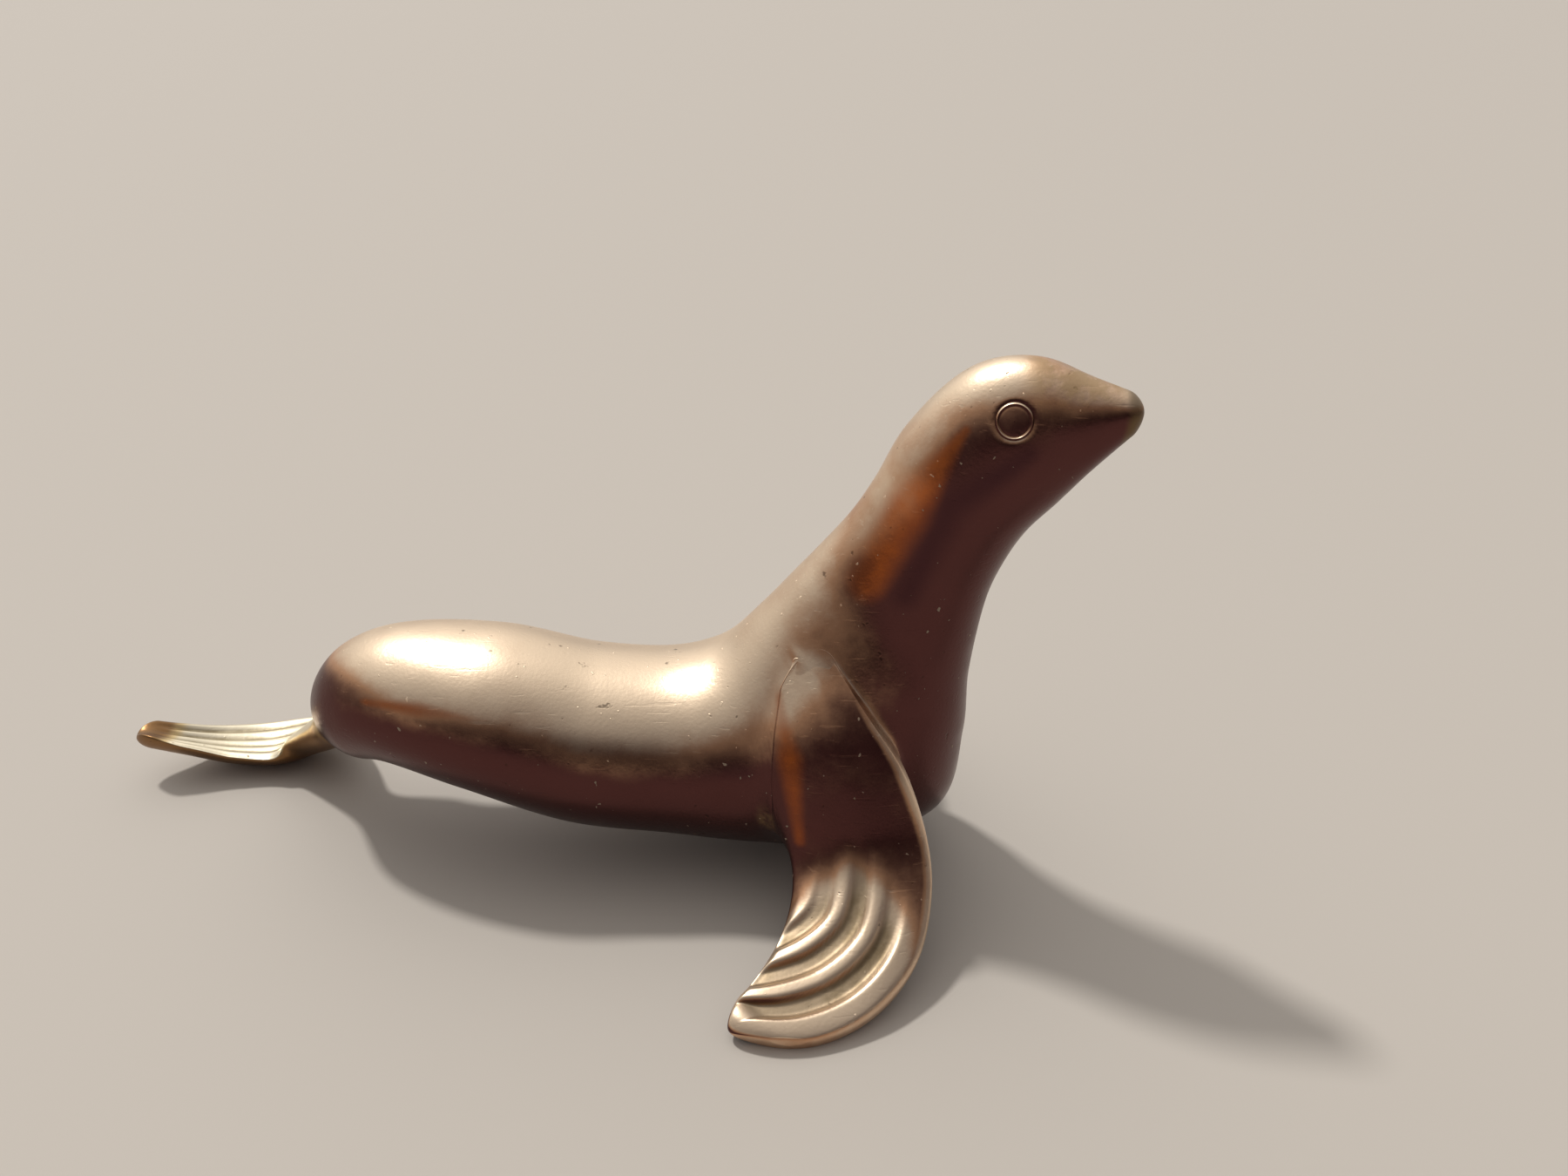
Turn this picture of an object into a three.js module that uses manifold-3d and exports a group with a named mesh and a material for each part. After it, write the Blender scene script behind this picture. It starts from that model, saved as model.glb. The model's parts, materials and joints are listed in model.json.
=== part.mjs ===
// A cast metal seal that stands on its two front flippers and on its tail.
// Millimetres. +X runs toward the nose, +Y to the seal's left and +Z up. Along the length, places are counted
// from the tail tip, and the finished seal is moved so that the origin lies on the table under its middle.
import * as THREE from "three";
import { ParametricGeometry } from "three/addons/geometries/ParametricGeometry.js";
import { mergeVertices } from "three/addons/utils/BufferGeometryUtils.js";
import Module from "manifold-3d";

const wasm = await Module();
wasm.setup();

// Overall place of the ends
const noseTip = 120;
const tailTip = 0;

// Joints between the castings
const seatGap = 0.3;
const pinClearance = 0.1;
const pinEndGap = 0.3;

// Body castings: the middle of each section, the lean and the swing of its plane in degrees (level and straight
// ahead is zero, leaning back and to the left is positive) and its half sizes
const bodyLine = [
  { place: "rump end", x: 27.4, y: 6.8, z: 12, lean: 43, swing: -23, halfHeight: 6.1, halfWidth: 6.4 },
  { place: "croup", x: 35.6, y: 3.2, z: 18.3, lean: 15, swing: -16, halfHeight: 8.2, halfWidth: 8.7 },
  { place: "hip", x: 47.8, y: 0.7, z: 18.7, lean: -9, swing: -6, halfHeight: 10, halfWidth: 11 },
  { place: "loin", x: 60.5, y: 0, z: 15.4, lean: -11, swing: 0, halfHeight: 10.9, halfWidth: 11.9 },
  { place: "ribs", x: 71.6, y: 0, z: 14.4, lean: 2, swing: 0, halfHeight: 11.5, halfWidth: 12.1 },
  { place: "shoulder", x: 79, y: 0, z: 14.4, lean: 17, swing: 0, halfHeight: 13.1, halfWidth: 12.8 },
  { place: "breast", x: 85.5, y: 0, z: 15.3, lean: 29, swing: 0, halfHeight: 15.4, halfWidth: 13.2 },
  { place: "chest", x: 93.6, y: 0, z: 20, lean: 42, swing: 0, halfHeight: 17.8, halfWidth: 12.1 },
  { place: "neck base", x: 96.5, y: 0, z: 28, lean: 47, swing: 0, halfHeight: 15, halfWidth: 9.7 },
  { place: "lower neck", x: 97.5, y: 0, z: 33.6, lean: 52, swing: 0, halfHeight: 12.3, halfWidth: 8 },
  { place: "middle neck", x: 99.7, y: -0.4, z: 41.4, lean: 60, swing: -4, halfHeight: 9.5, halfWidth: 7 },
  { place: "upper neck", x: 101.6, y: -0.8, z: 46.5, lean: 62, swing: -8, halfHeight: 8.8, halfWidth: 6.8 },
  { place: "nape", x: 104.1, y: -1.4, z: 52.2, lean: 56, swing: -14, halfHeight: 8.9, halfWidth: 6.9 },
  { place: "crown", x: 108.7, y: -2.5, z: 57.9, lean: 40, swing: -19, halfHeight: 8.7, halfWidth: 6.3 },
  { place: "muzzle", x: 112.4, y: -4.1, z: 60.1, lean: 27, swing: -23, halfHeight: 7.1, halfWidth: 4.7 },
  { place: "nose", x: noseTip, y: -7.2, z: 62.4, lean: 14, swing: -25, halfHeight: 2, halfWidth: 1.7 },
];
const rumpRounding = 8;
const noseRounding = 1.6;
const bodyWall = 2.6;
const cavityRounding = 6;
const cavityStart = 10;
const cavityEnd = 76;

// Neck joint, a level seat high on the shoulders
const neckSeatHeight = 37;
const neckDowelRadius = 2.5;
const neckDowelLength = 14;

// Front flippers: front and rear edge from the shoulder to the tip, with y as the distance from the middle
const flipperFront = [
  [88.3, 7, 33.6],
  [93.4, 11.9, 27.6],
  [98.2, 14.2, 20.8],
  [101.4, 16.6, 12.8],
  [101.8, 20.9, 8.2],
  [99.8, 27, 4.1],
  [95, 32.2, 1.6],
  [88.5, 35.3, 0.5],
  [80.2, 35.8, 0.8],
];
const flipperRear = [
  [84.4, 8.2, 29.6],
  [84.4, 11.9, 22.5],
  [84.9, 13.9, 15.4],
  [85.9, 16.4, 9.2],
  [85.8, 19.8, 6.3],
  [84.3, 24.4, 4.4],
  [81.3, 29.3, 3.1],
  [77.6, 33.2, 2],
];
const flipperRootDepth = 5.5;
const flipperRootFade = 0.25;
const flipperBladeThickness = 3.2;
const flipperTipThickness = 2.7;
const flipperBulge = 1.1;
const flipperTipRounding = 3.6;
const flipperPinRadius = 1.5;
const flipperPinLength = 5.6;
const flipperPinPlace = { x: 91, z: 21.5 };
const flipperPinSeat = 10.9;

// Ridges on the outer half of each front flipper, counted from its front edge
const ridgeSpacing = 3.9;
const ridgeHeight = 0.45;
const firstRidge = 1.3;
const ridgeStart = 0.42;
const ridgeFull = 0.62;

// Hind flipper: middle line from inside the rump to the tail tip, with the half width and thickness there
const tailLine = [
  { x: 31.6, y: 5.6, z: 13, halfWidth: 2.7, halfThickness: 2.4 },
  { x: 26.9, y: 7.6, z: 9.7, halfWidth: 3.1, halfThickness: 2.5 },
  { x: 24.6, y: 10.4, z: 6.2, halfWidth: 4.4, halfThickness: 2.1 },
  { x: 21.8, y: 13.2, z: 3, halfWidth: 5.6, halfThickness: 1.7 },
  { x: 17.3, y: 13.6, z: 1.2, halfWidth: 5.6, halfThickness: 1.4 },
  { x: 10.5, y: 12.2, z: 1.9, halfWidth: 4.6, halfThickness: 1.2 },
  { x: 5, y: 10.6, z: 4, halfWidth: 3.3, halfThickness: 1 },
  { x: tailTip, y: 9.4, z: 6.2, halfWidth: 2, halfThickness: 1.2 },
];
const tailCup = 1.4;
const tailRoll = THREE.MathUtils.degToRad(8);
const tailTipRounding = 2.2;
const tailGrooveCount = 5;
const tailGrooveDepth = 0.25;
const tailPinRadius = 1.1;
const tailPinLength = 8;

// Eyes: ringed studs pressed into round seats on both sides of the head
const eyeFromNose = 11.4;
const eyeAboveSide = THREE.MathUtils.degToRad(19.5);
const eyeRadius = 1.95;
const eyeRingWidth = 0.42;
const eyeRingHeight = 0.35;
const eyeRise = 0.05;
const eyeDiscThickness = 0.9;
const eyeStemRadius = 0.8;
const eyeStemLength = 2.6;
const eyeSeatGap = 0.25;

// Plug of the core hole under the belly
const plugPlace = { x: 64, y: 0 };
const plugRadius = 3;
const plugLength = 4;
const bellyHeight = 4.3;

// Counts of faces
const bodyAround = 30;
const bodyAlong = 52;
const flipperAround = 32;
const flipperAlong = 26;
const tailAround = 28;
const tailAlong = 26;
const roundSides = 20;

const bronze = { color: 0x8f6e4e, roughness: 0.32, metalness: 1 };
const worn = { color: 0x9c7d58, roughness: 0.36, metalness: 1 };
const brass = { color: 0xb49a5e, roughness: 0.34, metalness: 1 };
const up = new THREE.Vector3(0, 0, 1);

// A geometry whose shared vertices are merged and whose collapsed faces at the poles are left out, as a solid
function solid(geometry) {
  const plain = new THREE.BufferGeometry();
  plain.setAttribute("position", geometry.getAttribute("position"));
  plain.setIndex(geometry.getIndex());
  const merged = mergeVertices(plain, 1e-4);
  const corners = merged.getIndex().array;
  const faces = [];
  for (let i = 0; i < corners.length; i += 3) {
    const [a, b, c] = corners.slice(i, i + 3);
    if (a !== b && b !== c && c !== a) {
      faces.push(a, b, c);
    }
  }
  const vertProperties = new Float32Array(merged.getAttribute("position").array);
  return new wasm.Manifold(new wasm.Mesh({ numProp: 3, vertProperties, triVerts: new Uint32Array(faces) }));
}

// A closed skin: place(along, turn) gives the point at a share of the length and an angle round the section
function skin(place, around, along) {
  const surface = (u, v, target) => {
    const ended = 0.5 - 0.5 * Math.cos(Math.PI * v);
    target.copy(place(ended, (u % 1) * 2 * Math.PI));
  };
  return solid(new ParametricGeometry(surface, around, along));
}

// A share of the full size that closes a form with a round end over a given length
function roundEnd(distance, rounding) {
  const rest = 1 - THREE.MathUtils.clamp(distance / rounding, 0, 1);
  return { size: Math.sqrt(Math.max(0, 1 - rest * rest)), push: rest };
}

// A round bar between two points
function bar(from, to, radius) {
  const length = from.distanceTo(to);
  const geometry = new THREE.CylinderGeometry(radius, radius, length, roundSides);
  const direction = to.clone().sub(from).normalize();
  geometry.applyQuaternion(new THREE.Quaternion().setFromUnitVectors(new THREE.Vector3(0, 1, 0), direction));
  geometry.translate(...from.clone().add(to).multiplyScalar(0.5));
  return solid(geometry);
}

// A block that holds everything above, or below, a level
function halfSpace(level, above) {
  const size = 4 * noseTip;
  const geometry = new THREE.BoxGeometry(size, size, size);
  geometry.translate(0, 0, level + (above ? size / 2 : -size / 2));
  return solid(geometry);
}

// The named mesh of a solid
function piece(name, shape, finish) {
  const mesh = shape.getMesh();
  const geometry = new THREE.BufferGeometry();
  geometry.setAttribute("position", new THREE.BufferAttribute(new Float32Array(mesh.vertProperties), 3));
  geometry.setIndex(new THREE.BufferAttribute(new Uint32Array(mesh.triVerts), 1));
  const object = new THREE.Mesh(geometry, new THREE.MeshStandardMaterial(finish));
  object.name = name;
  return object;
}

const middleLine = new THREE.CatmullRomCurve3(bodyLine.map((at) => new THREE.Vector3(at.x, at.y, at.z)));
const halfSizes = new THREE.CatmullRomCurve3(
  bodyLine.map((at) => new THREE.Vector3(at.halfHeight, at.halfWidth, 0)),
);
const leans = new THREE.CatmullRomCurve3(bodyLine.map((at) => new THREE.Vector3(at.lean, at.swing, 0)));
const lineLength = middleLine.getLength();

// The section of the body at a share of the middle line: its middle, its directions and its half sizes
function bodySection(share) {
  const t = middleLine.getUtoTmapping(share);
  const half = halfSizes.getPoint(t);
  const plane = leans.getPoint(t);
  const lean = THREE.MathUtils.degToRad(plane.x);
  const swing = THREE.MathUtils.degToRad(plane.y);
  const left = new THREE.Vector3(-Math.sin(swing), Math.cos(swing), 0);
  const ahead = new THREE.Vector3(Math.cos(swing), Math.sin(swing), 0)
    .multiplyScalar(Math.cos(lean))
    .addScaledVector(up, Math.sin(lean));
  const top = new THREE.Vector3().crossVectors(ahead, left);
  return { middle: middleLine.getPoint(t), ahead, left, top, halfHeight: half.x, halfWidth: half.y };
}

// A point of the body's skin, grown outward by a distance; turn 0 is the left side, a quarter turn the back
function bodyPoint(share, turn, grown = 0) {
  const at = bodySection(share);
  const rump = roundEnd(share * lineLength, rumpRounding);
  const nose = roundEnd((1 - share) * lineLength, noseRounding);
  const closing = rump.size * nose.size;
  return at.middle
    .addScaledVector(at.left, Math.cos(turn) * (at.halfWidth + grown) * closing)
    .addScaledVector(at.top, Math.sin(turn) * (at.halfHeight + grown) * closing)
    .addScaledVector(at.ahead, (nose.push - rump.push) * grown);
}

// The direction in which the body's skin faces at a point
function bodyFacing(share, turn) {
  const step = 0.002;
  const along = bodyPoint(share + step, turn).sub(bodyPoint(share - step, turn));
  const round = bodyPoint(share, turn + step).sub(bodyPoint(share, turn - step));
  return new THREE.Vector3().crossVectors(round, along).normalize();
}

function bodySkin(grown) {
  return skin((share, turn) => bodyPoint(share, turn, grown), bodyAround, bodyAlong);
}

// The hollow of the body, from the croup up into the shoulders
function bodyCavity() {
  const place = (share, turn) => {
    const distance = THREE.MathUtils.lerp(cavityStart, cavityEnd, share);
    const at = bodySection(distance / lineLength);
    const rear = roundEnd(distance - cavityStart, cavityRounding);
    const front = roundEnd(cavityEnd - distance, cavityRounding);
    const closing = rear.size * front.size;
    return at.middle
      .addScaledVector(at.left, Math.cos(turn) * (at.halfWidth - bodyWall) * closing)
      .addScaledVector(at.top, Math.sin(turn) * (at.halfHeight - bodyWall) * closing);
  };
  return skin(place, bodyAround, Math.round(bodyAlong / 2));
}

// The middle of the neck at the height of its seat
function neckSeatMiddle() {
  let low = 0;
  let high = 1;
  for (let step = 0; step < 40; step += 1) {
    const middle = (low + high) / 2;
    if (middleLine.getPointAt(middle).z < neckSeatHeight) {
      low = middle;
    } else {
      high = middle;
    }
  }
  return middleLine.getPointAt(low);
}

// The dowel of the neck joint, and its bore with a clearance: half in the neck, half in the body
function neckDowel(clearance, endGap) {
  const seat = neckSeatMiddle();
  const reach = neckDowelLength / 2 + endGap;
  const foot = seat.clone().addScaledVector(up, -reach);
  const head = seat.clone().addScaledVector(up, reach);
  return bar(foot, head, neckDowelRadius + clearance);
}

// A point of a front flipper: share runs from the shoulder to the tip, and turn round the section
function flipperPoint(share, turn, side) {
  const front = frontEdge.getPointAt(share);
  const rear = rearEdge.getPointAt(share);
  const middle = front.clone().add(rear).multiplyScalar(0.5);
  const ahead = front.clone().sub(middle);
  const down = frontEdge.getTangentAt(share).add(rearEdge.getTangentAt(share));
  const outward = new THREE.Vector3().crossVectors(ahead, down).normalize();
  const halfWidth = ahead.length();
  const toTip = (1 - share) * rearEdge.getLength();
  const closing = roundEnd(toTip, flipperTipRounding).size * roundEnd(share, 0.04).size;
  const across = Math.cos(turn);
  const through = Math.sign(Math.sin(turn)) * Math.sqrt(Math.abs(Math.sin(turn)));
  const bladeShare = THREE.MathUtils.smoothstep(share, 0.6, 1);
  const blade = THREE.MathUtils.lerp(flipperBladeThickness, flipperTipThickness, bladeShare) / 2;
  const rootShare = 1 - THREE.MathUtils.smoothstep(share, 0.22, 0.48);
  const inner = THREE.MathUtils.lerp(blade, flipperRootDepth, rootShare);
  const outer = blade * roundEnd(share, flipperRootFade).size;
  const bulge = flipperBulge * Math.sin(Math.PI * Math.min(1, share * 1.3)) * (1 - across * across);
  const fromFront = halfWidth * (1 - across);
  const shown = THREE.MathUtils.smoothstep(share, ridgeStart, ridgeFull) * Math.max(0, Math.sin(turn));
  const ridges = ridgeHeight * shown * Math.cos((2 * Math.PI * (fromFront - firstRidge)) / ridgeSpacing);
  const rise = through * (through > 0 ? outer : inner) + bulge + ridges;
  const point = middle
    .addScaledVector(ahead, across * closing)
    .addScaledVector(outward, rise * closing);
  point.y *= side;
  return point;
}

const frontEdge = new THREE.CatmullRomCurve3(flipperFront.map((at) => new THREE.Vector3(...at)));
const rearEdge = new THREE.CatmullRomCurve3(flipperRear.map((at) => new THREE.Vector3(...at)));

// The pin that holds a front flipper, and its bore with a clearance, square to the side of the chest
function flipperPin(side, clearance, endGap) {
  const reach = flipperPinLength / 2 + endGap;
  const surface = new THREE.Vector3(flipperPinPlace.x, flipperPinSeat * side, flipperPinPlace.z);
  const inner = surface.clone().setY((flipperPinSeat - reach) * side);
  const outer = surface.clone().setY((flipperPinSeat + reach) * side);
  return bar(inner, outer, flipperPinRadius + clearance);
}

function frontFlipper(side) {
  const place = (share, turn) => flipperPoint(share, -side * turn, side);
  return skin(place, flipperAround, flipperAlong)
    .subtract(bodySkin(seatGap))
    .subtract(halfSpace(0, false))
    .subtract(flipperPin(side, pinClearance, pinEndGap));
}

const tailMiddle = new THREE.CatmullRomCurve3(tailLine.map((at) => new THREE.Vector3(at.x, at.y, at.z)));
const tailSizes = new THREE.CatmullRomCurve3(
  tailLine.map((at) => new THREE.Vector3(at.halfWidth, at.halfThickness, 0)),
);

// A point of the hind flipper: share runs from inside the rump to the tip, and turn round the section
function tailPoint(share, turn) {
  const t = tailMiddle.getUtoTmapping(share);
  const back = tailMiddle.getTangent(t);
  const right = new THREE.Vector3().crossVectors(up, back).normalize().applyAxisAngle(back, tailRoll);
  const top = new THREE.Vector3().crossVectors(back, right);
  const half = tailSizes.getPoint(t);
  const toTip = (1 - share) * tailMiddle.getLength();
  const closing = roundEnd(toTip, tailTipRounding).size * roundEnd(share, 0.04).size;
  const across = Math.cos(turn);
  const leaf = THREE.MathUtils.smoothstep(share, 0.26, 0.5);
  const cup = tailCup * leaf * across * across;
  const wave = Math.cos(tailGrooveCount * Math.PI * across);
  const grooves = tailGrooveDepth * leaf * Math.max(0, Math.sin(turn)) * wave;
  return tailMiddle.getPoint(t)
    .addScaledVector(right, across * half.x * closing)
    .addScaledVector(top, (Math.sin(turn) * half.y + cup + grooves) * closing);
}

// The pin that joins the stem of the hind flipper to the rump, and its bore with a clearance
function tailPin(clearance, endGap) {
  const inner = tailMiddle.getPoint(0);
  const outer = tailMiddle.getPoint(1 / (tailLine.length - 1));
  const middle = inner.clone().add(outer).multiplyScalar(0.5);
  const half = outer.clone().sub(inner).normalize().multiplyScalar(tailPinLength / 2 + endGap);
  return bar(middle.clone().sub(half), middle.clone().add(half), tailPinRadius + clearance);
}

function hindFlipper() {
  return skin(tailPoint, tailAround, tailAlong)
    .subtract(bodySkin(seatGap))
    .subtract(halfSpace(0, false))
    .subtract(tailPin(pinClearance, pinEndGap));
}

// A turned form on the axis of an eye: its profile gives radius and height over the skin of the head
function onEyeAxis(profile, side) {
  const share = 1 - eyeFromNose / lineLength;
  const turn = side > 0 ? eyeAboveSide : Math.PI - eyeAboveSide;
  const geometry = new THREE.LatheGeometry(profile.map(([r, h]) => new THREE.Vector2(r, h)), roundSides);
  const facing = bodyFacing(share, turn);
  geometry.applyQuaternion(new THREE.Quaternion().setFromUnitVectors(new THREE.Vector3(0, 1, 0), facing));
  geometry.translate(...bodyPoint(share, turn));
  return solid(geometry);
}

function eyeStud(side) {
  const floor = eyeRise - eyeDiscThickness;
  return onEyeAxis([
    [0, floor - eyeStemLength],
    [eyeStemRadius, floor - eyeStemLength],
    [eyeStemRadius, floor],
    [eyeRadius, floor],
    [eyeRadius, eyeRise],
    [eyeRadius - eyeRingWidth / 2, eyeRise + eyeRingHeight / 3],
    [eyeRadius - eyeRingWidth, eyeRise],
    [eyeRadius - eyeRingWidth, eyeRise - eyeRingHeight],
    [0, eyeRise - eyeRingHeight / 2],
  ], side);
}

function eyeSeat(side) {
  const floor = eyeRise - eyeDiscThickness;
  const wide = eyeRadius + eyeSeatGap;
  const narrow = eyeStemRadius + pinClearance;
  return onEyeAxis([
    [0, floor - eyeStemLength - pinEndGap],
    [narrow, floor - eyeStemLength - pinEndGap],
    [narrow, floor - eyeSeatGap],
    [wide, floor - eyeSeatGap],
    [wide, 3],
    [0, 3],
  ], side);
}

// The plug of the core hole: a round bar trimmed to the skin of the belly
function bellyPlug() {
  const top = new THREE.Vector3(plugPlace.x, plugPlace.y, plugLength + bellyHeight);
  const bottom = new THREE.Vector3(plugPlace.x, plugPlace.y, 0);
  return bar(bottom, top, plugRadius).intersect(bodySkin(0));
}

function coreHole() {
  const top = new THREE.Vector3(plugPlace.x, plugPlace.y, plugLength + bellyHeight + 2);
  const bottom = new THREE.Vector3(plugPlace.x, plugPlace.y, -2);
  return bar(bottom, top, plugRadius + pinClearance);
}

function bodyCasting() {
  return bodySkin(0)
    .subtract(bodyCavity())
    .subtract(halfSpace(neckSeatHeight, true))
    .subtract(neckDowel(pinClearance, pinEndGap))
    .subtract(flipperPin(1, pinClearance, pinEndGap))
    .subtract(flipperPin(-1, pinClearance, pinEndGap))
    .subtract(tailPin(pinClearance, pinEndGap))
    .subtract(coreHole());
}

function neckAndHead() {
  return bodySkin(0)
    .subtract(halfSpace(neckSeatHeight, false))
    .subtract(neckDowel(pinClearance, pinEndGap))
    .subtract(eyeSeat(1))
    .subtract(eyeSeat(-1));
}

const seal = new THREE.Group();
seal.add(
  piece("body", bodyCasting(), bronze),
  piece("neck_and_head", neckAndHead(), bronze),
  piece("front_flipper_right", frontFlipper(-1), worn),
  piece("front_flipper_left", frontFlipper(1), worn),
  piece("hind_flipper", hindFlipper(), brass),
  piece("eye_right", eyeStud(-1), worn),
  piece("eye_left", eyeStud(1), worn),
  piece("neck_dowel", neckDowel(0, 0), brass),
  piece("flipper_pin_right", flipperPin(-1, 0, 0), brass),
  piece("flipper_pin_left", flipperPin(1, 0, 0), brass),
  piece("tail_pin", tailPin(0, 0), brass),
  piece("belly_plug", bellyPlug(), brass),
);

// The origin lies on the table under the middle of the length
const extent = new THREE.Box3().setFromObject(seal);
seal.position.x = -(extent.min.x + extent.max.x) / 2;

export default seal;
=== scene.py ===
# %% [markdown]
# # A cast metal seal
# A small seal of aged bronze stands on the tips of its front flippers and on its tail. This lesson dresses
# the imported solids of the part: it works out finer skins from the same measurements, gives them an aged
# metal finish, and sets up a plain studio. Numbers are in millimetres until a mesh is made.

import bpy
import json
import numpy as np
from mathutils import Matrix, Vector

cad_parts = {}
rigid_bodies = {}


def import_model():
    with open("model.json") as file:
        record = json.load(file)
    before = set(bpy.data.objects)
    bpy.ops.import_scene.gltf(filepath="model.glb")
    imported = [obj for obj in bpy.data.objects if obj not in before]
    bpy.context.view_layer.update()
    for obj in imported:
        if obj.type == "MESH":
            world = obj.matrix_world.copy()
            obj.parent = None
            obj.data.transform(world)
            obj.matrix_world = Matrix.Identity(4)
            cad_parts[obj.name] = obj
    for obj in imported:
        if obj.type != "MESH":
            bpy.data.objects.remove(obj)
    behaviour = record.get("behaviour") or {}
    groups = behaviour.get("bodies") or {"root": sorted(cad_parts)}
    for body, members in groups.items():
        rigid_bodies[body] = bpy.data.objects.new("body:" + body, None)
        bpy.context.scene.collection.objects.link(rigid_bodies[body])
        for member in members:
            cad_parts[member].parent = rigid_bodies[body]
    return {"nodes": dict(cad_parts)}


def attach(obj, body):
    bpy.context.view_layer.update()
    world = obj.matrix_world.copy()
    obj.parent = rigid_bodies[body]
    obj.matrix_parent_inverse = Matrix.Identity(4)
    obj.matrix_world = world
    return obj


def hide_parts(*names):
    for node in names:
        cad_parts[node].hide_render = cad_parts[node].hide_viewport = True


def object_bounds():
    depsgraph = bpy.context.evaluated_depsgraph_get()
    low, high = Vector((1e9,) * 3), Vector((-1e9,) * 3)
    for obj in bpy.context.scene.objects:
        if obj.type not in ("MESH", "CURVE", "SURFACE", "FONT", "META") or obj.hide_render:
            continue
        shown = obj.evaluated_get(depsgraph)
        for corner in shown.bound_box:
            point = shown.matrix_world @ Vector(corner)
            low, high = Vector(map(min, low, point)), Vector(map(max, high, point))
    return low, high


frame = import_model()
solid_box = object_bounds()
LOWEST, HIGHEST = (np.array(corner) for corner in solid_box)
MM = 0.001
MIDDLE_X = 60.095  # from the tip of the tail to the middle of the solids
UP = np.array([0.0, 0.0, 1.0])
print("solids:", sorted(frame["nodes"]), "box in metres:", solid_box)

# %% [markdown]
# ## Smooth lines through measured points
# A caster shapes the seal by eye from a few known sections. Here each line is a curve through a few
# measured points. A Bezier curve object would do too, but a formula on arrays lets one line of code shape a
# whole skin. The knots are spaced by the square root of the distance between points, which keeps a curve
# from looping. The sizes and angles in a table follow the knots of its points, or the skin would have a
# crease at every section.


# %% Curves through points
def through(points, at):
    """Points of a curve, at places counted in spans: a cubic on each span, whose end slopes are the
    weighted mean of the slopes of the spans that meet there. The first three columns space the knots."""
    points = np.asarray(points, float)
    padded = np.vstack([2 * points[0] - points[1], points, 2 * points[-1] - points[-2]])
    knot = np.sqrt(np.linalg.norm(np.diff(padded[:, :3], axis=0), axis=1))[:, None]
    at = np.clip(at, 0, len(points) - 1)
    span = np.minimum(at.astype(int), len(points) - 2)
    share = (at - span)[:, None]
    before, start, end, after = (padded[span + k] for k in range(4))
    d0, d1, d2 = (knot[span + k] for k in range(3))
    slope_start = ((start - before) / d0 - (end - before) / (d0 + d1) + (end - start) / d1) * d1
    slope_end = ((end - start) / d1 - (after - start) / (d1 + d2) + (after - end) / d2) * d1
    square = -3 * start + 3 * end - 2 * slope_start - slope_end
    cube = 2 * start - 2 * end + slope_start + slope_end
    return start + slope_start * share + square * share**2 + cube * share**3


def spans_by_length(points, shares):
    """Places on a curve, in spans, that lie at given shares of its length."""
    fine = np.linspace(0, len(points) - 1, 2001)
    steps = np.linalg.norm(np.diff(through(points, fine), axis=0), axis=1)
    run = np.concatenate([[0], np.cumsum(steps)])
    return np.interp(np.asarray(shares) * run[-1], run, fine), run[-1]


def ease(value, start, end):
    """A smooth step: 0 before start, 1 after end, and 3t^2 - 2t^3 between."""
    t = np.clip((value - start) / (end - start), 0, 1)
    return t * t * (3 - 2 * t)


def unit(vectors):
    return vectors / np.linalg.norm(vectors, axis=-1, keepdims=True)


def round_end(distance, rounding):
    """The share of the full size near a round end: a quarter circle over the length of the rounding."""
    rest = 1 - np.clip(distance / rounding, 0, 1)
    return np.sqrt(1 - rest**2)


# %% [markdown]
# ## A skin from a grid
# Every piece of this seal is a closed skin: rows of points run along it, and each row goes once round. The
# first and last rows shrink to a point, and they become the two poles. Building the faces from row and
# column numbers gives clean quads, which a sculpted or remeshed form wouldn't have. The solids have flat
# facets and flat faces to stand on, so the smooth forms would reach past their box, by up to 0.3 mm under
# the tips of the flippers. The points are clipped to that box, which gives the skins flat faces to stand on
# too.


# %% Grid to mesh
def closed_skin(name, points, marks):
    """Makes a mesh object from an array of rows x columns x 3 whose columns close up and whose end rows are
    single points. Marks are values per point that the metal's finish reads."""
    rows, columns = points.shape[:2]
    poles = [points[0].mean(axis=0), points[-1].mean(axis=0)]
    inner = points[1:-1].reshape(-1, 3)
    vertices = np.clip((np.vstack([inner, poles]) - [MIDDLE_X, 0, 0]) * MM, LOWEST, HIGHEST)
    row = np.arange(rows - 3)[:, None] * columns
    here = np.arange(columns)[None, :]
    after = (here + 1) % columns
    quads = np.stack([row + here, row + after, row + columns + after, row + columns + here], -1)
    first, last = len(inner), len(inner) + 1
    end = (rows - 3) * columns
    cap_a = np.stack([np.full(columns, first), after[0], here[0]], -1)
    cap_b = np.stack([np.full(columns, last), end + here[0], end + after[0]], -1)
    mesh = bpy.data.meshes.new(name)
    faces = quads.reshape(-1, 4).tolist() + cap_a.tolist() + cap_b.tolist()
    mesh.from_pydata(vertices.tolist(), [], faces)
    mesh.polygons.foreach_set("use_smooth", np.ones(len(mesh.polygons), bool))
    for mark, values in marks.items():
        flat = np.concatenate([values[1:-1].ravel(), [values[0].mean(), values[-1].mean()]])
        mesh.attributes.new(mark, "FLOAT", "POINT").data.foreach_set("value", flat.astype(np.float32))
    mesh.update()
    piece = bpy.data.objects.new(name, mesh)
    bpy.context.collection.objects.link(piece)
    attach(piece, "root")
    size = " x ".join(f"{side:.1f}" for side in np.ptp(vertices, axis=0) / MM)
    print(f"{name}: {len(mesh.polygons)} faces, {size} mm, volume {volume(mesh):.0f} mm3")
    return piece


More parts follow.
